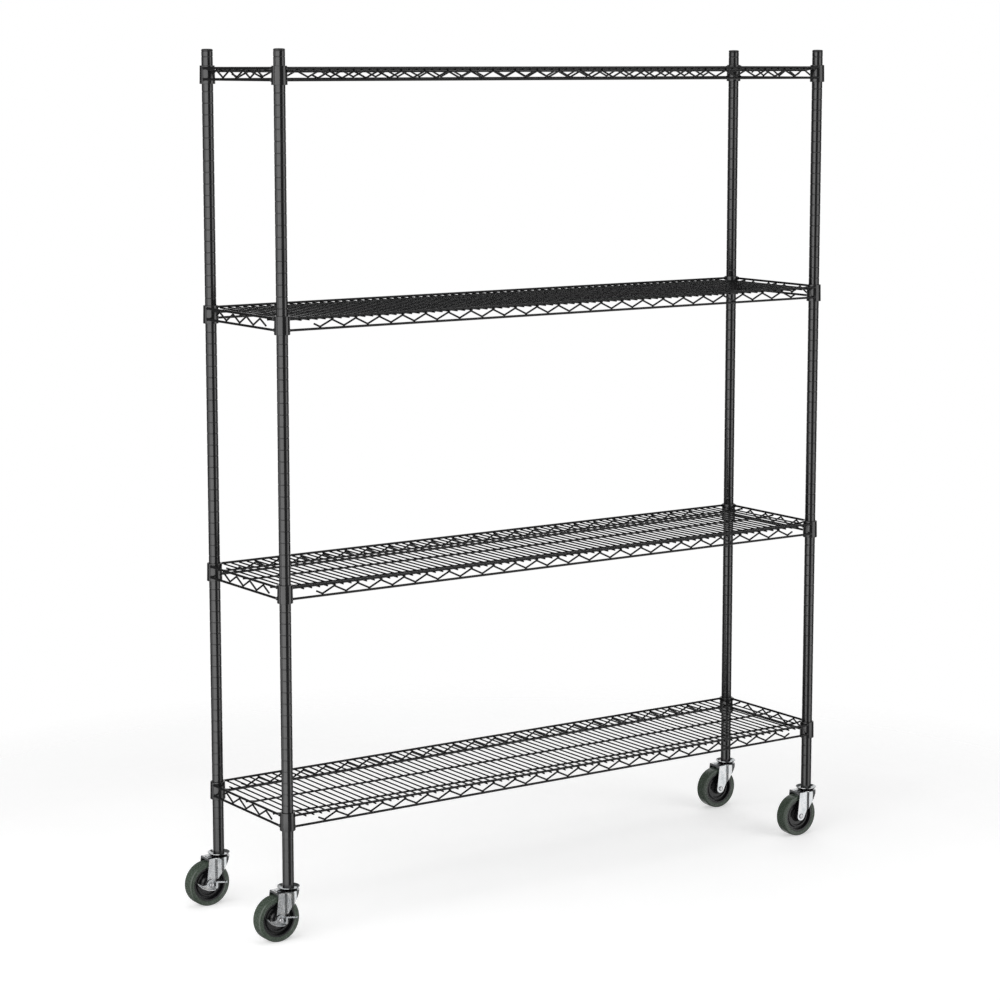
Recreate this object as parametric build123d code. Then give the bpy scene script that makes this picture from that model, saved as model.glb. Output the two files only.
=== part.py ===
"""Wire shelf cart: four grooved posts, four lift-off wire shelves and four swivel casters."""

from build123d import *
from math import asin, cos, degrees, pi, radians, sin
import os

# ---------------------------------------------------------------- driving dimensions, mm
INCH = 25.4

# posts
POST_SPACING_X = 1493.0
POST_SPACING_Y = 318.8
POST_R = INCH / 2
POST_WALL = 1.2
POST_FOOT_Z = 115.5
POST_TOP_Z = 1939.0
GROOVE_PITCH = INCH
GROOVE_COUNT = 70
FIRST_GROOVE_Z = 175.0
GROOVE_DEPTH = 0.7
GROOVE_WIDTH = 2.4
GROOVE_FLOOR = 1.0
CAP_HEIGHT = 6.0
CAP_PLUG = 14.0
CAP_ROUNDING = 2.8
CAP_WALL = 2.0

# shelves: the groove that carries each one, counted from the lowest, and how far above that
# groove its collars come to rest once they have wedged down on the sleeves
SHELVES = {
    "bottom_shelf": (4, 9.3),
    "lower_shelf": (24, 8.8),
    "upper_shelf": (47, 9.2),
    "top_shelf": (68, 6.2),
}
COLLAR_HEIGHT = 40.5
COLLAR_TOP_R = 16.7
COLLAR_FOOT_R = 17.5
COLLAR_ROUNDING = 0.9
BORE_TOP_R = 14.1
BORE_FOOT_R = 15.3
SLEEVE_INSET = 0.5
SLEEVE_CLEARANCE = 0.1
SLEEVE_GRIP = 0.05
SLEEVE_DRAFT = 0.1
SLEEVE_SLIT = 0.5
RIDGE_WIDTH = 1.6
RAIL_R = 2.7
RAIL_OFFSET = 15.0
RAIL_STOP = 9.5
RAIL_DROP = 5.8
RAIL_SPACING = 24.6
WELD = 0.7
DECK_R = 1.75
DECK_PITCH = 20.04
DECK_COUNT = 72
DECK_SINK = 0.9
DECK_OVERHANG = 2.4
DECK_END_HALF = 130.5
SUPPORT_R = 2.2
SUPPORT_OFFSET = 122.0
SUPPORT_SINK = 0.5
SUPPORT_RAMP = 16.0
SUPPORT_TIP = 7.0
SUPPORT_BEND = 12.0
TRUSS_R = 2.1
TRUSS_PITCH = 3 * DECK_PITCH
TRUSS_BEND = 4.0
TRUSS_SINK = 1.2
LONG_PEAKS = 22
SHORT_PEAKS = 4
HALF_STROKE = 0.5
LONG_STROKE = 0.85

# casters
WHEEL_R = 51.0
TREAD_HALF = 15.0
SHOULDER_ROUNDING = 3.2
TYRE_BEVEL = 1.5
RIM_R = 39.6
TRAIL = 31.5
AXLE_R = 4.0
AXLE_SLEEVE_R = 6.0
RUNNING_GAP = 0.05
SIDE_GAP = 0.4
SHEET = 2.5
PLATE_TOP_Z = 111.5
PLATE_R = 24.4
NOSE_X = -35.5
LEG_FACE_Y = 20.5
LEG_BULGE_Y = 24.3
LUG_R = 11.0
CREASE_HALF = 2.2
CREASE_BEND = 2.5
NOSE_BEVEL = 1.2
PAD_LENGTH = 9.0
PAD_WIDTH = 14.0
PAD_RISE = 1.0
PAD_BEVEL = 0.7
WRAP_START = 36.0
KINGPIN_HEAD_R = 10.0
KINGPIN_HEAD = 3.5
KINGPIN_GAP = 0.4
KINGPIN_CHAMFER = 2.5
BOLT_HEAD_R = 5.6
BOLT_HEAD = 2.8
BOLT_TAIL = 8.0
NUT_R = 7.5
NUT_HEIGHT = 6.0
CUP_FLOOR_Z = 113.5
CUP_SHEET = 2.0
CUP_RIM_R = 25.6
CUP_RIM_Z = 119.6
CUP_FLOOR_R = 19.6
CUP_LIP = 1.2
BALL_R = 2.2
BALL_CIRCLE_R = 14.0
BALL_COUNT = 12
KINGPIN_R = 6.0
STUD_R = 5.0
STUD_LENGTH = 32.0
INSERT_HEIGHT = 25.0

# legs of a fork: where the sheet steps outwards, where the edge leaves the round lug, in degrees
# below level, and the corners of the edge that rises from there to the plate
PLAIN_LEG = {"creases": [-11.3], "lug_turn": 29, "edge": [(-14.5, 62.5), (1, 84.5), (12, 99)]}
BRAKED_LEG = {
    "creases": [-18.2, -2.6],
    "lug_turn": 0,
    "edge": [(-20.5, 63), (-14.7, 63), (-5.1, 74.5), (3.4, 86), (17, 107)],
}

# brake levers
LEVER_SHEET = 2.0
LEVER_HUB_R = 13.0
PEDAL_DEPTH = 4.0
PEDAL_RIM_INSET = 0.3
LUG_DEPTH = 8.0
TAB_DEPTH = 4.0

# ---------------------------------------------------------------- derived sizes
# The casters trail to the left, so the posts stand right of the middle of the whole cart.
CENTRE_X = (TRAIL + WHEEL_R - CUP_RIM_R) / 2
HALF_X = POST_SPACING_X / 2
HALF_Y = POST_SPACING_Y / 2
CORNERS = {
    "front_left": (CENTRE_X - HALF_X, -HALF_Y),
    "front_right": (CENTRE_X + HALF_X, -HALF_Y),
    "rear_left": (CENTRE_X - HALF_X, HALF_Y),
    "rear_right": (CENTRE_X + HALF_X, HALF_Y),
}
BRAKED = ("front_left", "rear_left")
PLATE_Z = PLATE_TOP_Z - SHEET
BALL_Z = (PLATE_TOP_Z + CUP_FLOOR_Z) / 2


# ---------------------------------------------------------------- helpers
def turned(points, axis=Axis.Z):
    """Solid of revolution about Z from a closed outline of (radius, height) points."""
    return revolve(Plane.XZ * make_face(Polyline(*points, close=True)), axis)


def rod(radius, start, end):
    """Round bar between two points."""
    path = Line(start, end)
    return extrude((path ^ 0) * Circle(radius), path.length)


def bent_wire(radius, points, bend):
    """Round wire along straight runs joined by equal bends."""
    path = FilletPolyline(*points, radius=bend)
    return sweep((path ^ 0) * Circle(radius), path=path)


def circles_wider_than(shape, radius):
    """Round edges larger than a radius, for rounding over."""
    return [edge for edge in shape.edges().filter_by(GeomType.CIRCLE) if edge.radius > radius]


def along_y(shape):
    """Turn a shape made about Z so that its axis lies along Y, its top towards -Y."""
    return Rot(90, 0, 0) * shape


def group(shapes):
    """Several separate solids kept as one node."""
    return Compound(children=[solid for shape in shapes for solid in shape.solids()])


def at_corners(shape):
    """The same shape at all four posts."""
    return group([Pos(x, y, 0) * shape for x, y in CORNERS.values()])


# ---------------------------------------------------------------- posts
def groove_z(index):
    return FIRST_GROOVE_Z + index * GROOVE_PITCH


def post():
    """Tube with a locating groove every inch."""
    inner_r = POST_R - POST_WALL
    outline = [(inner_r, POST_FOOT_Z), (POST_R, POST_FOOT_Z)]
    for index in range(GROOVE_COUNT):
        z = groove_z(index)
        outline += [
            (POST_R, z - GROOVE_WIDTH / 2),
            (POST_R - GROOVE_DEPTH, z - GROOVE_FLOOR / 2),
            (POST_R - GROOVE_DEPTH, z + GROOVE_FLOOR / 2),
            (POST_R, z + GROOVE_WIDTH / 2),
        ]
    outline += [(POST_R, POST_TOP_Z), (inner_r, POST_TOP_Z)]
    return turned(outline)


def post_cap():
    """Moulded plug with a rounded top, pushed into the post."""
    plug_r = POST_R - POST_WALL
    top = POST_TOP_Z + CAP_HEIGHT
    cap = turned([
        (0, POST_TOP_Z - 1), (plug_r - CAP_WALL, POST_TOP_Z - 1),
        (plug_r - CAP_WALL, POST_TOP_Z - CAP_PLUG), (plug_r, POST_TOP_Z - CAP_PLUG),
        (plug_r, POST_TOP_Z), (POST_R, POST_TOP_Z), (POST_R, top), (0, top),
    ])
    return fillet(cap.edges().group_by(Axis.Z)[-1], CAP_ROUNDING)


def post_insert():
    """Threaded steel bush pressed into the foot of the post."""
    return turned([
        (STUD_R, POST_FOOT_Z), (POST_R - POST_WALL, POST_FOOT_Z),
        (POST_R - POST_WALL, POST_FOOT_Z + INSERT_HEIGHT),
        (STUD_R, POST_FOOT_Z + INSERT_HEIGHT),
    ])


# ---------------------------------------------------------------- shelf hardware on the posts
def collar_top_z(shelf):
    groove, rise = SHELVES[shelf]
    return groove_z(groove) + rise


def split_sleeve(shelf):
    """Two tapered half shells whose inner ridge sits in a groove of the post."""
    top = collar_top_z(shelf) - SLEEVE_INSET
    foot = collar_top_z(shelf) - COLLAR_HEIGHT + SLEEVE_INSET
    ridge_z = groove_z(SHELVES[shelf][0])
    inner_r = POST_R + SLEEVE_GRIP
    ridge_r = POST_R - GROOVE_DEPTH + 2 * SLEEVE_GRIP
    ring = turned([
        (inner_r + SLEEVE_DRAFT, foot), (BORE_FOOT_R - SLEEVE_CLEARANCE, foot),
        (BORE_TOP_R - SLEEVE_CLEARANCE, top), (inner_r + SLEEVE_DRAFT, top),
        (inner_r, ridge_z + RIDGE_WIDTH / 2), (ridge_r, ridge_z + RIDGE_WIDTH / 4),
        (ridge_r, ridge_z - RIDGE_WIDTH / 4), (inner_r, ridge_z - RIDGE_WIDTH / 2),
    ])
    return ring - Pos(0, 0, (top + foot) / 2) * Box(4 * POST_R, SLEEVE_SLIT, 2 * COLLAR_HEIGHT)


def collar(top):
    """Tapered corner sleeve that wedges down over the split sleeve."""
    foot = top - COLLAR_HEIGHT
    ring = turned([
        (BORE_FOOT_R, foot), (COLLAR_FOOT_R, foot), (COLLAR_TOP_R, top), (BORE_TOP_R, top),
    ])
    return fillet(circles_wider_than(ring, COLLAR_TOP_R - 1), COLLAR_ROUNDING)


def collar_blank(top):
    """Outside of a collar, less the depth of the weld, that trims the rail ends."""
    return turned([
        (0, top - COLLAR_HEIGHT), (COLLAR_FOOT_R - WELD, top - COLLAR_HEIGHT),
        (COLLAR_TOP_R - WELD, top), (0, top),
    ])


# ---------------------------------------------------------------- wire shelf
def rail_levels(top):
    upper = top - RAIL_DROP
    return upper, upper - RAIL_SPACING


def deck_z(top):
    """Height of the deck wires, which are welded under the upper rails."""
    return rail_levels(top)[0] - RAIL_R - DECK_R + DECK_SINK


def rails(top):
    """Upper and lower rail wires on all four sides, ending on the corner collars."""
    side_x, side_y = HALF_X + RAIL_OFFSET, HALF_Y + RAIL_OFFSET
    end_x, end_y = HALF_X - RAIL_STOP, HALF_Y - RAIL_STOP
    bars = []
    for z in rail_levels(top):
        for side in (-1, 1):
            bars.append(rod(RAIL_R, (-end_x, side * side_y, z), (end_x, side * side_y, z)))
            bars.append(rod(RAIL_R, (side * side_x, -end_y, z), (side * side_x, end_y, z)))
    blank = collar_blank(top)
    for x in (-HALF_X, HALF_X):
        for y in (-HALF_Y, HALF_Y):
            bars = [bar - Pos(x, y, 0) * blank for bar in bars]
    return [Pos(CENTRE_X, 0, 0) * bar for bar in bars]


def truss_points(peaks, low, high, starts_low, strokes):
    """Zigzag with a part stroke free at each end; peaks are spaced evenly about the middle."""
    half = TRUSS_PITCH / 2
    corners = 2 * peaks + 1 if starts_low else 2 * peaks - 1
    first = -half * (corners - 1) / 2
    height = high - low if starts_low else low - high
    start = low if starts_low else high
    points = [(first - half * strokes[0], start + height * strokes[0])]
    for index in range(corners):
        points.append((first + index * half, start + height * (index % 2)))
    points.append((-first + half * strokes[1], start + height * strokes[1]))
    return points


def truss(top):
    """Zigzag wires between the rails: the long ones under the deck, the short ones rail to rail."""
    upper, lower = rail_levels(top)
    reach = RAIL_R + TRUSS_R - WELD
    under_deck = deck_z(top) - DECK_R - TRUSS_R + TRUSS_SINK
    long_run = truss_points(LONG_PEAKS, lower + reach, under_deck, True, (HALF_STROKE, HALF_STROKE))
    short_run = truss_points(
        SHORT_PEAKS, lower + reach, upper - reach, False, (LONG_STROKE, HALF_STROKE))
    long_wire = bent_wire(TRUSS_R, [(x, 0, z) for x, z in long_run], TRUSS_BEND)
    short_wire = bent_wire(TRUSS_R, [(0, y, z) for y, z in short_run], TRUSS_BEND)
    wires = [Pos(0, side * (HALF_Y + RAIL_OFFSET), 0) * long_wire for side in (-1, 1)]
    wires += [Pos(side * (HALF_X + RAIL_OFFSET), 0, 0) * short_wire for side in (-1, 1)]
    return [Pos(CENTRE_X, 0, 0) * wire for wire in wires]


def deck_x(index):
    """Cross wires share their spacing with the truss: every third one meets a peak."""
    return CENTRE_X + (index - (DECK_COUNT - 1) / 2) * DECK_PITCH


def deck_wires(top):
    """Cross wires of the deck, with short ends past the rails, and a short one beyond each end."""
    reach = HALF_Y + RAIL_OFFSET + RAIL_R + DECK_OVERHANG
    spans = [(index, reach) for index in range(DECK_COUNT)]
    spans += [(-1, DECK_END_HALF), (DECK_COUNT, DECK_END_HALF)]
    z = deck_z(top)
    return [rod(DECK_R, (deck_x(index), -half, z), (deck_x(index), half, z)) for index, half in spans]


def support_wires(top):
    """Three long wires under the deck; their ends rise to the side rails and are welded there."""
    z = deck_z(top) - DECK_R - SUPPORT_R + SUPPORT_SINK
    end_z = rail_levels(top)[0] - RAIL_R - SUPPORT_R + WELD
    tip = HALF_X + RAIL_OFFSET
    half = [(tip - SUPPORT_RAMP - SUPPORT_TIP, z), (tip - SUPPORT_TIP, end_z), (tip, end_z)]
    run = [(-x, height) for x, height in reversed(half)] + half
    wire = bent_wire(SUPPORT_R, [(CENTRE_X + x, 0, height) for x, height in run], SUPPORT_BEND)
    return [Pos(0, y, 0) * wire for y in (-SUPPORT_OFFSET, 0, SUPPORT_OFFSET)]


# ---------------------------------------------------------------- caster, about its swivel axis
def kingpin():
    """Threaded stud and rivet in one piece; its head holds the fork up from below."""
    head_z = PLATE_Z - KINGPIN_GAP
    head_foot = head_z - KINGPIN_HEAD
    stud_top = POST_FOOT_Z + STUD_LENGTH
    return turned([
        (0, head_foot), (KINGPIN_HEAD_R - KINGPIN_CHAMFER, head_foot), (KINGPIN_HEAD_R, head_foot + 2),
        (KINGPIN_HEAD_R, head_z), (KINGPIN_R, head_z), (KINGPIN_R, POST_FOOT_Z),
        (STUD_R, POST_FOOT_Z), (STUD_R, stud_top - 1), (STUD_R - 1, stud_top), (0, stud_top),
    ])


def race_cup():
    """Dished upper race that the foot of the post stands in."""
    floor_top = CUP_FLOOR_Z + CUP_SHEET
    cup = turned([
        (KINGPIN_R, CUP_FLOOR_Z), (CUP_FLOOR_R, CUP_FLOOR_Z), (CUP_RIM_R, CUP_RIM_Z - 1),
        (CUP_RIM_R, CUP_RIM_Z), (CUP_RIM_R - CUP_LIP, CUP_RIM_Z), (CUP_FLOOR_R - CUP_LIP, floor_top),
        (KINGPIN_R, floor_top),
    ])
    return cup - Pos(0, 0, BALL_Z) * Torus(BALL_CIRCLE_R, BALL_R + 2 * RUNNING_GAP)


def swivel_balls():
    """Ring of bearing balls between the fork and the upper race."""
    step = 2 * pi / BALL_COUNT
    return [
        Pos(BALL_CIRCLE_R * cos(i * step), BALL_CIRCLE_R * sin(i * step), BALL_Z) * Sphere(BALL_R)
        for i in range(BALL_COUNT)
    ]


def leg_face(creases, inset):
    """One face of a leg from above, as its straight run and the stretch round under the race."""
    face = LEG_FACE_Y - inset
    rise = (LEG_BULGE_Y - LEG_FACE_Y) / len(creases)
    corners = [(-2 * PLATE_R, face)]
    for x in creases:
        corners += [(x - CREASE_HALF, face), (x + CREASE_HALF, face + rise)]
        face += rise
    wrap_end = degrees(asin(face / (PLATE_R - inset)))
    wrap = CenterArc((0, 0), PLATE_R - inset, WRAP_START, wrap_end - WRAP_START)
    return FilletPolyline(*corners, wrap @ 1, radius=CREASE_BEND), wrap


def leg_plan(creases):
    """Seen from above, a leg steps outwards at each crease, then wraps round under the race."""
    outer, outer_wrap = leg_face(creases, 0)
    inner, inner_wrap = leg_face(creases, SHEET)
    ends = [Line(outer @ 0, inner @ 0), Line(outer_wrap @ 0, inner_wrap @ 0)]
    return make_face(Curve() + [outer, outer_wrap, inner, inner_wrap] + ends)


def leg_side(lug_turn, edge):
    """Seen from the side, a leg narrows from the plate down to a round lug at the axle."""
    turn = radians(lug_turn)
    lug_left = (-TRAIL - LUG_R, WHEEL_R)
    lug_foot = (-TRAIL, WHEEL_R - LUG_R)
    lug_right = (-TRAIL + LUG_R * cos(turn), WHEEL_R - LUG_R * sin(turn))
    right_x = PLATE_R + 1
    outline = [
        Polyline((right_x, PLATE_TOP_Z), (NOSE_X, PLATE_TOP_Z), lug_left),
        ThreePointArc(lug_left, lug_foot, lug_right),
        Polyline(lug_right, *edge, (right_x, PLATE_Z), (right_x, PLATE_TOP_Z)),
    ]
    return Plane.XZ * make_face(Curve() + outline)


def fork(creases, lug_turn, edge):
    """Pressed steel fork: round top plate with a square nose, and two creased legs."""
    side = extrude(leg_side(lug_turn, edge), 2 * PLATE_R, both=True)
    leg = extrude(leg_plan(creases), PLATE_TOP_Z) & side
    plate = Pos(0, 0, PLATE_Z) * extrude(Circle(PLATE_R), SHEET)
    nose = Pos(NOSE_X / 2, 0, PLATE_Z + SHEET / 2) * Box(-NOSE_X, 2 * LEG_FACE_Y, SHEET)
    lip = Pos(NOSE_X + SHEET / 2, 0, PLATE_Z) * Box(SHEET, 2 * LEG_FACE_Y, 2 * SHEET)
    pad_x = NOSE_X + SHEET + NOSE_BEVEL + PAD_LENGTH / 2
    pad = Pos(pad_x, 0, PLATE_TOP_Z + PAD_RISE / 2) * Box(PAD_LENGTH, PAD_WIDTH, PAD_RISE)
    pad = chamfer(pad.edges().group_by(Axis.Z)[-1], PAD_BEVEL)
    body = plate + nose + lip + leg + mirror(leg, Plane.XZ)
    top_edges = body.edges().group_by(Axis.Z)[-1].filter_by(GeomType.LINE)
    body = chamfer(top_edges.filter_by_position(Axis.X, NOSE_X + 1, PLATE_R), NOSE_BEVEL) + pad
    axle_hole = Pos(-TRAIL, 0, WHEEL_R) * along_y(Cylinder(AXLE_R, 4 * LEG_BULGE_Y))
    race = Pos(0, 0, BALL_Z) * Torus(BALL_CIRCLE_R, BALL_R)
    bore = Pos(0, 0, PLATE_Z) * Cylinder(KINGPIN_R + RUNNING_GAP, 4 * SHEET)
    return body - axle_hole - race - bore


def wheel_core():
    """Moulded wheel centre: hub, thin web, one raised ring and a flat rim."""
    bore = AXLE_SLEEVE_R + RUNNING_GAP
    half = [
        (bore, 17.6), (11, 17.6), (12.5, 16.5), (13.5, 7), (17, 4.5), (25, 4.5), (26.5, 8.5),
        (29.5, 8.5), (31.5, 5), (34.5, 5), (36, 13.5), (RIM_R, 13.5),
    ]
    return along_y(turned(half + [(r, -y) for r, y in reversed(half)]))


def tyre():
    """Solid rubber tread with rounded shoulders."""
    side = TREAD_HALF
    ring = turned([
        (RIM_R, side - TYRE_BEVEL), (RIM_R + TYRE_BEVEL, side), (WHEEL_R, side), (WHEEL_R, -side),
        (RIM_R + TYRE_BEVEL, -side), (RIM_R, TYRE_BEVEL - side),
    ])
    return along_y(fillet(circles_wider_than(ring, WHEEL_R - 1), SHOULDER_ROUNDING))


def axle_sleeve():
    """Steel tube that the wheel turns on, clamped between the legs."""
    half = LEG_FACE_Y - SHEET
    return along_y(turned([(AXLE_R, -half), (AXLE_SLEEVE_R, -half), (AXLE_SLEEVE_R, half), (AXLE_R, half)]))


def axle_bolt(front_face):
    """Axle bolt with a domed head in front and a plain end behind."""
    tail = -LEG_FACE_Y - BOLT_TAIL
    crown = front_face + BOLT_HEAD
    bolt = turned([
        (0, tail), (AXLE_R, tail), (AXLE_R, front_face), (BOLT_HEAD_R, front_face),
        (BOLT_HEAD_R, crown), (0, crown),
    ])
    rim = ShapeList(circles_wider_than(bolt, AXLE_R + 1)).sort_by(Axis.Z)[-1]
    return along_y(fillet(rim, BOLT_HEAD - 0.4))


def axle_nut():
    """Hexagon nut behind the rear leg."""
    blank = extrude(RegularPolygon(NUT_R, 6), NUT_HEIGHT) - Cylinder(AXLE_R, 4 * NUT_HEIGHT)
    return Pos(0, LEG_FACE_Y + NUT_HEIGHT, 0) * along_y(blank)


def concentric(arc, depth):
    """The arc moved towards its centre, and stopped short of both its ends."""
    points = [arc @ t + (arc.arc_center - arc @ t).normalized() * depth for t in (0.04, 0.5, 0.94)]
    return ThreePointArc(*points)


def standing(x, y, width, depth):
    """A tab of the lever turned out at right angles, at a place and with a width in its plane."""
    height = LEVER_SHEET + depth
    return Pos(x, y, height / 2) * Box(LEVER_SHEET, width, height)


def brake_lever():
    """Stamped lever on the axle: crescent pedal with a rim, upright lug, brace and thin arm."""
    dip, shoulder = (-27, 3.4), (-7, 9)
    sole = ThreePointArc((10, -12), (-13.5, -10), (-40, 12))
    crown = [Line(sole @ 1, dip), ThreePointArc(dip, (-18, 1.6), shoulder)]
    pedal = make_face(Curve() + [sole, *crown, Line(shoulder, sole @ 0)])
    brace = make_face(Polyline((4, 9), (8, 9), (17, 4.5), (16, -9.5), (6, -11), close=True))
    arm = make_face(Polyline((14, 6.5), (38, 2.5), (38, -0.5), (14, 3), close=True))
    hub = Circle(LEVER_HUB_R) & Pos(0, LEVER_HUB_R / 2) * Rectangle(2 * LEVER_HUB_R, 2 * LEVER_HUB_R)
    plate = extrude(hub + pedal + brace + arm, LEVER_SHEET)
    outer, inner = concentric(sole, PEDAL_RIM_INSET), concentric(sole, PEDAL_RIM_INSET + LEVER_SHEET)
    ends = [Line(outer @ 0, inner @ 0), Line(outer @ 1, inner @ 1)]
    rim = extrude(make_face(Curve() + [outer, inner] + ends), LEVER_SHEET + PEDAL_DEPTH)
    lug = standing(8, 0.4, 16.8, LUG_DEPTH)
    tab = standing(37, 2.5, 5, TAB_DEPTH)
    bore = Cylinder(AXLE_R + RUNNING_GAP, 6 * LUG_DEPTH)
    return along_y(plate + rim + lug + tab - bore)


# ---------------------------------------------------------------- nodes
def make_nodes():
    nodes = {}
    blank_post = post()
    for corner, (x, y) in CORNERS.items():
        nodes["post_" + corner] = Pos(x, y, 0) * blank_post
    nodes["post_caps"] = at_corners(post_cap())
    nodes["post_inserts"] = at_corners(post_insert())
    nodes["kingpins"] = at_corners(kingpin())
    nodes["race_cups"] = at_corners(race_cup())
    nodes["split_sleeves"] = at_corners(group([split_sleeve(shelf) for shelf in SHELVES]))

    for shelf in SHELVES:
        top = collar_top_z(shelf)
        nodes["collars_" + shelf] = at_corners(collar(top))
        nodes["rails_" + shelf] = group(rails(top))
        nodes["truss_" + shelf] = group(truss(top))
        nodes["deck_wires_" + shelf] = group(deck_wires(top))
        nodes["support_wires_" + shelf] = group(support_wires(top))

    plain_fork, braked_fork = fork(**PLAIN_LEG), fork(**BRAKED_LEG)
    lever_face = LEG_FACE_Y + SIDE_GAP
    for corner, (x, y) in CORNERS.items():
        swivel = Pos(x, y, 0)
        axle = Pos(x - TRAIL, y, WHEEL_R)
        braked = corner in BRAKED
        front_face = lever_face + LEVER_SHEET + SIDE_GAP if braked else LEG_FACE_Y
        nodes["fork_" + corner] = swivel * (braked_fork if braked else plain_fork)
        nodes["swivel_balls_" + corner] = group([swivel * ball for ball in swivel_balls()])
        nodes["axle_bolt_" + corner] = axle * axle_bolt(front_face)
        nodes["axle_sleeve_" + corner] = axle * axle_sleeve()
        nodes["axle_nut_" + corner] = axle * axle_nut()
        nodes["wheel_core_" + corner] = axle * wheel_core()
        nodes["tyre_" + corner] = axle * tyre()
        if braked:
            nodes["brake_lever_" + corner] = axle * Pos(0, -lever_face, 0) * brake_lever()
    return nodes


os.makedirs("parts", exist_ok=True)
for name, shape in make_nodes().items():
    export_step(shape, f"parts/{name}.step")
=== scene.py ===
import math
from random import Random

import bmesh
import bpy
from mathutils import Matrix, Vector


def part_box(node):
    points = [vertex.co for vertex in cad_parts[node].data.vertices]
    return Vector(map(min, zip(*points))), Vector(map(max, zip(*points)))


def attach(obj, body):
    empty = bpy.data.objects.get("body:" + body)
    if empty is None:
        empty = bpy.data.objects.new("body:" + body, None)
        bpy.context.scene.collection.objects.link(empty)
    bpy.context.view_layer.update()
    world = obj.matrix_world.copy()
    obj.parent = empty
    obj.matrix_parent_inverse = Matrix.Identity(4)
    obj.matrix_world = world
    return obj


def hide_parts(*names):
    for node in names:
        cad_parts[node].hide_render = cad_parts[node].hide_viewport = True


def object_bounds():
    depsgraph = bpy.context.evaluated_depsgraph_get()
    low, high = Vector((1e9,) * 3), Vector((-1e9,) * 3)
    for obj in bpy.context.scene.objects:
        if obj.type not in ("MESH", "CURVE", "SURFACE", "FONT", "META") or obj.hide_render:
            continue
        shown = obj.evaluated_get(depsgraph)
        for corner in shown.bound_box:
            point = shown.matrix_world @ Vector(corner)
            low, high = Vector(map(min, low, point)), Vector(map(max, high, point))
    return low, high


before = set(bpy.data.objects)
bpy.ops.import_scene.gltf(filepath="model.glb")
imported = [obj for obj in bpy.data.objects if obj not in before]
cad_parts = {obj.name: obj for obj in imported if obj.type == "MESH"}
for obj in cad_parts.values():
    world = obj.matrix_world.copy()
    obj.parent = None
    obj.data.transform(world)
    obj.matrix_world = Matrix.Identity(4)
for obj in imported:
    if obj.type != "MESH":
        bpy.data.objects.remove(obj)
CAD_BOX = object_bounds()

MM = 0.001
SHELVES = ("bottom_shelf", "lower_shelf", "upper_shelf", "top_shelf")
CORNERS = ("front_left", "front_right", "rear_left", "rear_right")

# posts: a 1 in tube with its ends eased and a groove every inch
POST_R = 12.7 * MM
POST_WALL = 1.2 * MM
POST_EASE = 0.25 * MM
GROOVE_PITCH = 25.4 * MM
GROOVE_COUNT = 70
FIRST_GROOVE_Z = 175 * MM
GROOVE_DEPTH = 0.7 * MM
# half of a groove: millimetres from its middle, and the share of its depth
HALF_GROOVE = ((0, 1), (0.5, 0.85), (0.9, 0.2), (1.3, 0), (2, 0))

# caps: a hollow plug inside the tube, under a lip and a crowned top
PLUG_WALL = 2 * MM
HOLLOW_DROP = 1 * MM  # from the tube's end down to the top of the hollow
LIP_INSET = 0.2 * MM
LIP_RISES = (0.3 * MM, 0.5 * MM, 0.9 * MM)  # above the tube's end, from the plug outwards
CAP_ROUNDING = 2.6 * MM
EDGE_DROP = 0.6 * MM  # from the top of the crown down to its rounded edge
CROWN_DROP = 0.15 * MM  # from the top of the crown down to its slope halfway out

# collars: tapered inside and out
COLLAR_TOP_R = 16.7 * MM
COLLAR_FOOT_R = 17.5 * MM
COLLAR_RIM = 0.8 * MM
BORE_TOP_R = 14.1 * MM
BORE_FOOT_R = 15.3 * MM

# weld beads, where the rails end on the collars
RAIL_R = 2.7 * MM
RAIL_END = 10 * MM  # from the post's axis, along the rail
RAIL_DROPS = (5.8 * MM, 30.4 * MM)  # below the top of the collar
BEAD_R = RAIL_R + 1.4 * MM
BEAD_OFFSET = 14 * MM  # from the post's axis, across the rail
BEAD_FLATNESS = 0.55
BEAD_LUMPS = 0.12

# tyres
TYRE_BORE_R = 39.6 * MM
TYRE_BEVEL = 1.5 * MM
MOULD_LINE_R = TYRE_BORE_R + 5 * MM
MOULD_LINE_DEPTH = 0.4 * MM
MOULD_LINE_MOUTH = 0.6 * MM  # half its width where it opens on the tyre's side
MOULD_LINE_FLOOR = 0.2 * MM  # half its width at the bottom
# millimetres down from the tread and in from the side
SHOULDER = ((2.8, 0), (2.1, 0.2), (0.6, 1.6), (0.25, 2.4), (0.05, 5), (0, 9))

# how finely each kind of piece is turned
POST_SEGMENTS = 56
CAP_SEGMENTS = 48
COLLAR_SEGMENTS = 64
TYRE_SEGMENTS = 96
SHARP_ANGLE = math.radians(40)  # edges that turn more than this stay sharp
SAME_POINT = 0.001 * MM  # points closer than this are merged


def centre(corner):
    """Where a post stands."""
    low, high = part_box("post_" + corner)
    return (low + high) / 2


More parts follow.
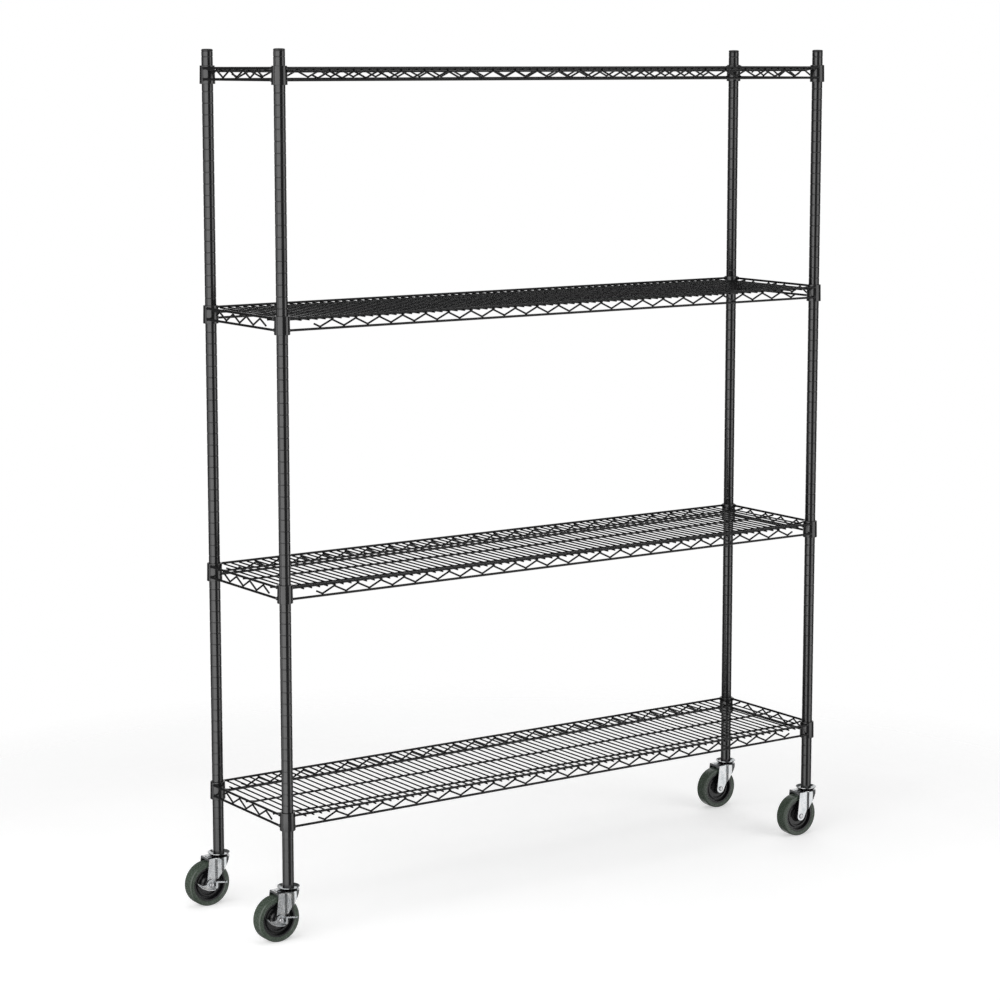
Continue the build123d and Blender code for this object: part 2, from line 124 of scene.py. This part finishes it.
# ---------------------------------------------------------------- procedural materials
class Surface:
    """One procedural material: a principled shader and the nodes that feed it."""

    def __init__(self, name, **constants):
        self.material = bpy.data.materials.new(name)
        self.material.use_nodes = True
        self.tree = self.material.node_tree
        self.shader = self.tree.nodes["Principled BSDF"]
        self.place = self.tree.nodes.new("ShaderNodeTexCoord").outputs["Object"]
        for socket, value in constants.items():
            self.shader.inputs[socket.replace("_", " ")].default_value = value

    def node(self, kind, **settings):
        made = self.tree.nodes.new(kind)
        for key, value in settings.items():
            setattr(made, key, value)
        return made

    def link(self, output, socket):
        self.tree.links.new(output, socket)

    def noise(self, size, detail=2.0, stretch=(1, 1, 1)):
        """Noise from 0 to 1, its features about size metres across and drawn out by stretch."""
        mapping = self.node("ShaderNodeMapping")
        mapping.inputs["Scale"].default_value = [1 / s for s in stretch]
        self.link(self.place, mapping.inputs["Vector"])
        texture = self.node("ShaderNodeTexNoise")
        texture.inputs["Scale"].default_value = 1 / size
        texture.inputs["Detail"].default_value = detail
        self.link(mapping.outputs["Vector"], texture.inputs["Vector"])
        return texture.outputs["Fac"]

    def between(self, factor, low, high, start=0.3, end=0.7):
        """Numbers from low to high as the factor goes from start to end."""
        mapped = self.node("ShaderNodeMapRange")
        for socket, value in zip(mapped.inputs[1:5], (start, end, low, high)):
            socket.default_value = value
        self.link(factor, mapped.inputs["Value"])
        return mapped.outputs["Result"]

    def colours(self, factor, *stops):
        """Colours along a ramp: each stop is a place and an (r, g, b)."""
        node = self.node("ShaderNodeValToRGB")
        elements = node.color_ramp.elements
        while len(elements) < len(stops):
            elements.new(0.5)
        for element, (place, colour) in zip(elements, stops):
            element.position = place
            element.color = (*colour, 1)
        self.link(factor, node.inputs["Fac"])
        return node.outputs["Color"]

    def painted_corner_shade(self, colour, distance):
        """The colour with painted shade: darkened where the surface is shut in by others within a
        distance.
        """
        node = self.node("ShaderNodeAmbientOcclusion", samples=8)
        node.inputs["Distance"].default_value = distance
        self.link(colour, node.inputs["Color"])
        return node.outputs["Color"]

    def colour(self, output):
        self.link(output, self.shader.inputs["Base Color"])

    def roughness(self, output):
        self.link(output, self.shader.inputs["Roughness"])

    def bump(self, *layers):
        """Layers of (height output, depth in metres), one over the other."""
        normal = None
        for height, depth in layers:
            node = self.node("ShaderNodeBump")
            node.inputs["Distance"].default_value = depth
            self.link(height, node.inputs["Height"])
            if normal:
                self.link(normal, node.inputs["Normal"])
            normal = node.outputs["Normal"]
        self.link(normal, self.shader.inputs["Normal"])


def epoxy(name, size, ior):
    """Black powder coat: satin, with orange peel and a faint cloudiness."""
    s = Surface(name, IOR=ior)
    cloudy = s.colours(
        s.noise(size, 3), (0.3, (0.004, 0.004, 0.0043)), (0.7, (0.0075, 0.0075, 0.008)))
    s.colour(cloudy)
    s.roughness(s.between(s.noise(size / 3, 4), 0.13, 0.2))
    s.bump((s.noise(1.8 * MM, 1), 0.012 * MM), (s.noise(0.3 * MM, 2), 0.004 * MM))
    return s.material


def zinc():
    """Bright zinc plate: cool grey, rolling streaks, clouded passivation, painted shade in the
    corners.
    """
    s = Surface("bright_zinc", Metallic=1.0)
    plate = s.colours(
        s.noise(14 * MM, 3),
        (0.3, (0.44, 0.46, 0.47)), (0.55, (0.53, 0.54, 0.55)), (0.75, (0.6, 0.59, 0.57)))
    # painted shade: the plate's colour is darkened by ambient occlusion in corners and creases
    s.colour(s.painted_corner_shade(plate, 5 * MM))
    s.roughness(s.between(s.noise(1.5 * MM, 3, (1, 1, 12)), 0.1, 0.19))
    s.bump((s.noise(0.5 * MM, 2, (1, 1, 20)), 0.005 * MM), (s.noise(7 * MM, 2), 0.06 * MM))
    return s.material


def steel():
    """Plain turned steel, slightly oiled, with painted shade in the corners."""
    s = Surface("turned_steel", Metallic=1.0)
    turned = s.colours(s.noise(4 * MM, 2), (0.3, (0.42, 0.42, 0.43)), (0.7, (0.58, 0.58, 0.59)))
    # painted shade: the steel's colour is darkened by ambient occlusion in corners
    s.colour(s.painted_corner_shade(turned, 4 * MM))
    s.roughness(s.between(s.noise(0.6 * MM, 3), 0.16, 0.3))
    s.bump((s.noise(0.3 * MM, 1), 0.004 * MM))
    return s.material


def moulding(name, tone, rough):
    """Moulded black plastic with a fine spark-eroded grain."""
    s = Surface(name)
    s.colour(s.colours(s.noise(8 * MM, 3), (0.3, [0.75 * t for t in tone]), (0.7, tone)))
    s.roughness(s.between(s.noise(2 * MM, 3), rough - 0.06, rough + 0.06))
    s.bump((s.noise(0.35 * MM, 2), 0.02 * MM))
    return s.material


def rubber():
    """Grey-green solid rubber, mottled, with a satin skin."""
    s = Surface("grey_rubber")
    mottled = s.colours(
        s.noise(9 * MM, 4),
        (0.3, (0.043, 0.059, 0.043)), (0.5, (0.052, 0.07, 0.052)), (0.7, (0.064, 0.084, 0.064)))
    s.colour(mottled)
    s.roughness(s.between(s.noise(3 * MM, 3), 0.2, 0.32))
    s.bump((s.noise(0.6 * MM, 3), 0.03 * MM), (s.noise(5 * MM, 1), 0.04 * MM))
    return s.material


def paint(names, material):
    """Give the CAD nodes a finish."""
    for name in names:
        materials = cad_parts[name].data.materials
        materials.clear()
        materials.append(material)


def make_finishes():
    return {
        "post": epoxy("post_epoxy", 40 * MM, 1.62),
        "shelf": epoxy("shelf_epoxy", 25 * MM, 1.6),
        "wire": epoxy("wire_epoxy", 25 * MM, 1.3),
        "cap": moulding("cap_plastic", (0.01,) * 3, 0.42),
        "sleeve": moulding("sleeve_plastic", (0.012,) * 3, 0.5),
        "core": moulding("wheel_plastic", (0.009, 0.009, 0.01), 0.26),
        "zinc": zinc(),
        "steel": steel(),
        "rubber": rubber(),
    }


def paint_cart(finishes):
    """Finish the CAD nodes by the start of their names; later starts are more exact."""
    starts = {
        "post_": "post", "post_caps": "cap", "post_inserts": "steel", "split_sleeves": "sleeve",
        "collars_": "shelf", "rails_": "wire", "truss_": "wire", "deck_wires_": "wire",
        "support_wires_": "wire", "kingpins": "zinc", "race_cups": "zinc", "fork_": "zinc",
        "brake_lever_": "zinc", "swivel_balls_": "steel", "axle_": "steel", "wheel_core_": "core",
        "tyre_": "rubber",
    }
    for start, finish in starts.items():
        paint([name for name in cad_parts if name.startswith(start)], finishes[finish])


# ---------------------------------------------------------------- detailed pieces
def add_piece(name, mesh, body, material, replaced=None):
    """Put a finished mesh in the scene, on its body and in its material slot."""
    mesh.shade_smooth()
    mesh.set_sharp_from_angle(angle=SHARP_ANGLE)
    mesh.materials.append(material)
    piece = bpy.data.objects.new(name, mesh)
    bpy.context.scene.collection.objects.link(piece)
    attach(piece, body)
    if replaced:
        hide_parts(replaced)


def lathe(name, outline, places, segments):
    """A closed outline of (radius, height) turned about an upright axis at each place."""
    points, faces = [], []
    rows = len(outline)
    for x, y, *_ in places:
        first = len(points)
        for k in range(segments):
            turn = 2 * math.pi * k / segments
            cosine, sine = math.cos(turn), math.sin(turn)
            points += [(x + r * cosine, y + r * sine, z) for r, z in outline]
        for k in range(segments):
            here, there = first + k * rows, first + (k + 1) % segments * rows
            for i in range(rows):
                j = (i + 1) % rows
                faces.append((here + i, there + i, there + j, here + j))
    mesh = bpy.data.meshes.new(name)
    mesh.from_pydata(points, [], faces)
    work = bmesh.new()
    work.from_mesh(mesh)
    bmesh.ops.remove_doubles(work, verts=work.verts, dist=SAME_POINT)
    bmesh.ops.recalc_face_normals(work, faces=work.faces)
    work.to_mesh(mesh)
    work.free()
    return mesh


def rounded(middle, radius, start, end, steps=4):
    """Points of an arc about its middle, between two angles in degrees."""
    r, z = middle
    turns = [math.radians(start + (end - start) * i / steps) for i in range(steps + 1)]
    return [(r + radius * math.cos(t), z + radius * math.sin(t)) for t in turns]


def post_outline(foot, top):
    """Tube wall with eased ends and a softly rolled groove every inch."""
    groove = [(-offset, depth) for offset, depth in reversed(HALF_GROOVE[1:])]
    groove += HALF_GROOVE
    outline = [(POST_R - POST_WALL, foot), (POST_R - POST_EASE, foot)]
    outline += [(POST_R, foot + POST_EASE), (POST_R, foot + 3 * POST_EASE)]
    for index in range(GROOVE_COUNT):
        z = FIRST_GROOVE_Z + index * GROOVE_PITCH
        outline += [(POST_R - depth * GROOVE_DEPTH, z + offset * MM) for offset, depth in groove]
    outline += [(POST_R, top - 3 * POST_EASE), (POST_R, top - POST_EASE)]
    outline += [(POST_R - POST_EASE, top), (POST_R - POST_WALL, top)]
    return outline


def make_posts(material):
    for corner in CORNERS:
        low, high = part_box("post_" + corner)
        name = "rolled_post_" + corner
        mesh = lathe(name, post_outline(low.z, high.z), [centre(corner)], POST_SEGMENTS)
        add_piece(name, mesh, "posts", material, "post_" + corner)


def make_caps(material):
    """Moulded plugs with a crowned top and a parting shadow where they meet the tube."""
    low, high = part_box("post_caps")
    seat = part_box("post_front_left")[1].z
    plug_r = POST_R - POST_WALL
    hollow_r = plug_r - PLUG_WALL
    outline = [(0, seat - HOLLOW_DROP), (hollow_r, seat - HOLLOW_DROP), (hollow_r, low.z)]
    outline.append((plug_r, low.z))
    lip = zip((plug_r, POST_R - LIP_INSET, POST_R), LIP_RISES)
    outline += [(r, seat + rise) for r, rise in lip]
    edge_z = high.z - EDGE_DROP - CAP_ROUNDING
    outline += rounded((POST_R - CAP_ROUNDING, edge_z), CAP_ROUNDING, 0, 80, 6)
    outline += [(POST_R / 2, high.z - CROWN_DROP), (0, high.z)]
    mesh = lathe("crowned_caps", outline, [centre(c) for c in CORNERS], CAP_SEGMENTS)
    add_piece("crowned_caps", mesh, "posts", material, "post_caps")


def make_collars(material):
    """Pressed corner sleeves with rolled rims."""
    rim = COLLAR_RIM
    for shelf in SHELVES:
        low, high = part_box("collars_" + shelf)
        outline = [(BORE_FOOT_R, low.z)]
        outline += rounded((COLLAR_FOOT_R - rim, low.z + rim), rim, -90, 0)
        outline += rounded((COLLAR_TOP_R - rim, high.z - rim), rim, 0, 90)
        outline.append((BORE_TOP_R, high.z))
        name = "rolled_collars_" + shelf
        mesh = lathe(name, outline, [centre(c) for c in CORNERS], COLLAR_SEGMENTS)
        add_piece(name, mesh, shelf, material, "collars_" + shelf)


def weld_bead(work, place, axis, random):
    """A lumpy ring of weld where a rail wire ends on a collar."""
    made = bmesh.ops.create_icosphere(work, subdivisions=2, radius=1)["verts"]
    for vert in made:
        lump = 1 + random.uniform(-BEAD_LUMPS, BEAD_LUMPS)
        local = vert.co * lump * BEAD_R
        local[axis] *= BEAD_FLATNESS
        vert.co = place + local


def make_welds(material):
    """Beads at both ends of every rail, so two to a collar at each level of the rails."""
    random = Random(7)
    for shelf in SHELVES:
        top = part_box("collars_" + shelf)[1].z
        work = bmesh.new()
        for corner in CORNERS:
            x, y, _ = centre(corner)
            out_x, out_y = math.copysign(1, x), math.copysign(1, y)
            for drop in RAIL_DROPS:
                z = top - drop
                along_x = Vector((x - out_x * RAIL_END, y + out_y * BEAD_OFFSET, z))
                along_y = Vector((x + out_x * BEAD_OFFSET, y - out_y * RAIL_END, z))
                weld_bead(work, along_x, 0, random)
                weld_bead(work, along_y, 1, random)
        mesh = bpy.data.meshes.new("welds_" + shelf)
        work.to_mesh(mesh)
        work.free()
        add_piece("welds_" + shelf, mesh, shelf, material)


def tyre_side(half, tread):
    """One side of a tyre's section, from its bore over a mould line and a rounded shoulder.

    half is half the tyre's width, and tread is its outer radius.
    """
    floor = half - MOULD_LINE_DEPTH
    side = [(TYRE_BORE_R, half - TYRE_BEVEL), (TYRE_BORE_R + TYRE_BEVEL, half)]
    side += [(MOULD_LINE_R - MOULD_LINE_MOUTH, half), (MOULD_LINE_R - MOULD_LINE_FLOOR, floor)]
    side += [(MOULD_LINE_R + MOULD_LINE_FLOOR, floor), (MOULD_LINE_R + MOULD_LINE_MOUTH, half)]
    return side + [(tread - down * MM, half - across * MM) for down, across in SHOULDER]


def make_tyres(material):
    """Moulded tyres, turned about each axle."""
    for corner in CORNERS:
        low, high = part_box("tyre_" + corner)
        side = tyre_side((high.y - low.y) / 2, (high.z - low.z) / 2)
        outline = side + [(r, -across) for r, across in reversed(side)]
        name = "moulded_tyre_" + corner
        mesh = lathe(name, outline, [(0, 0)], TYRE_SEGMENTS)
        onto_axle = Matrix.Translation((low + high) / 2) @ Matrix.Rotation(math.pi / 2, 4, "X")
        mesh.transform(onto_axle)
        add_piece(name, mesh, "wheel_" + corner, material, "tyre_" + corner)


# ---------------------------------------------------------------- studio
CAMERA_PLACE = (-3.6486, -5.274, 1.919)
CAMERA_AZIMUTH = -34.349
CAMERA_ELEVATION = 8.045
CAMERA_LENS = 99.19
CAMERA_SHIFT = -0.05

# each upright light: where it stands, its width and its radiance
UPRIGHT_BOXES = {
    "left_box": ((-2.35, -1.1), 2.8, 2.4),
    "right_box": ((1.6, -2.2), 2.0, 1.8),
    "rear_left_box": ((-2.0, 0.6), 0.8, 1.2),
    "rear_box": ((1.9, 2.3), 2.8, 0.9),
}
UPRIGHT_BOX_Z = 0.95
UPRIGHT_BOX_HEIGHT = 3.2
SURROUNDINGS = 0.14

# the floor fades out between the two FADE radii; LIFT is how much it glows to the camera, and
# POLISH how much of it is a mirror to the cart
FLOOR_R = 2.2
FLOOR_FADE = (1.2, 2.0)
FLOOR_LIFT = 0.45
FLOOR_POLISH = 0.85
FLOOR_POLISHED_ROUGHNESS = 0.08
FLOOR_MATT_ROUGHNESS = 0.9


def direction(azimuth, elevation):
    """Where a camera looks: azimuth 0 is along +Y, and elevation is how far above it stands."""
    a, e = math.radians(azimuth), math.radians(elevation)
    return Vector((-math.sin(a) * math.cos(e), math.cos(a) * math.cos(e), -math.sin(e)))


def aim(thing, heading):
    """Turn a camera or a light so that it faces a heading."""
    thing.rotation_euler = heading.to_track_quat("-Z", "Y").to_euler()


def make_camera():
    data = bpy.data.cameras.new("camera")
    data.lens = CAMERA_LENS
    data.shift_y = CAMERA_SHIFT
    camera = bpy.data.objects.new("camera", data)
    camera.location = CAMERA_PLACE
    aim(camera, direction(CAMERA_AZIMUTH, CAMERA_ELEVATION))
    bpy.context.scene.collection.objects.link(camera)
    bpy.context.scene.camera = camera


def softbox(name, place, width, height, radiance):
    """A rectangular light that faces the cart's upright middle line."""
    data = bpy.data.lights.new(name, "AREA")
    data.shape = "RECTANGLE"
    data.size, data.size_y = width, height
    data.energy = radiance * math.pi * width * height
    light = bpy.data.objects.new(name, data)
    light.location = place
    middle = Vector((0, 0, min(place[2], CAD_BOX[1].z / 2)))
    aim(light, middle - light.location)
    light.visible_camera = False
    bpy.context.scene.collection.objects.link(light)


def make_lights():
    """Tall boxes at the left and the front right, weaker ones behind, and a wide one overhead."""
    for name, ((x, y), width, radiance) in UPRIGHT_BOXES.items():
        softbox(name, (x, y, UPRIGHT_BOX_Z), width, UPRIGHT_BOX_HEIGHT, radiance)
    softbox("top_box", place=(0, 0, 3.6), width=3.6, height=2.4, radiance=1.6)


def make_world():
    """Dim surroundings that the camera sees as white."""
    world = bpy.data.worlds.new("studio")
    world.use_nodes = True
    tree = world.node_tree
    background = tree.nodes["Background"]
    path = tree.nodes.new("ShaderNodeLightPath")
    strength = tree.nodes.new("ShaderNodeMapRange")
    strength.inputs["To Min"].default_value = SURROUNDINGS
    strength.inputs["To Max"].default_value = 1.0
    tree.links.new(path.outputs["Is Camera Ray"], strength.inputs["Value"])
    tree.links.new(strength.outputs["Result"], background.inputs["Strength"])
    background.inputs["Color"].default_value = (1, 1, 1, 1)
    bpy.context.scene.world = world


def make_floor():
    """A pale round floor whose rim fades away.

    The camera sees it matt and lifted to near white. To the cart's reflections it is a polished
    board.
    """
    bpy.ops.mesh.primitive_circle_add(
        vertices=96, radius=FLOOR_R, fill_type="NGON", location=(0, 0, 0))
    floor = bpy.context.object
    floor.name = "floor"
    s = Surface("floor_paint", Emission_Color=(1, 1, 1, 1))
    s.colour(s.colours(s.noise(0.4, 2), (0.3, (0.76, 0.76, 0.76)), (0.7, (0.79, 0.79, 0.79))))
    seen = s.node("ShaderNodeLightPath").outputs["Is Camera Ray"]
    s.link(s.between(seen, 0, FLOOR_LIFT, 0, 1), s.shader.inputs["Emission Strength"])
    s.link(s.between(seen, FLOOR_POLISH, 0, 0, 1), s.shader.inputs["Metallic"])
    s.roughness(s.between(seen, FLOOR_POLISHED_ROUGHNESS, FLOOR_MATT_ROUGHNESS, 0, 1))
    distance = s.node("ShaderNodeVectorMath", operation="LENGTH")
    s.link(s.place, distance.inputs[0])
    s.link(s.between(distance.outputs["Value"], 1, 0, *FLOOR_FADE), s.shader.inputs["Alpha"])
    floor.data.materials.append(s.material)


finishes = make_finishes()
paint_cart(finishes)
make_posts(finishes["post"])
make_caps(finishes["cap"])
make_collars(finishes["shelf"])
make_welds(finishes["shelf"])
make_tyres(finishes["rubber"])
make_camera()
make_lights()
make_world()
make_floor()
bpy.context.scene.view_settings.view_transform = "Standard"
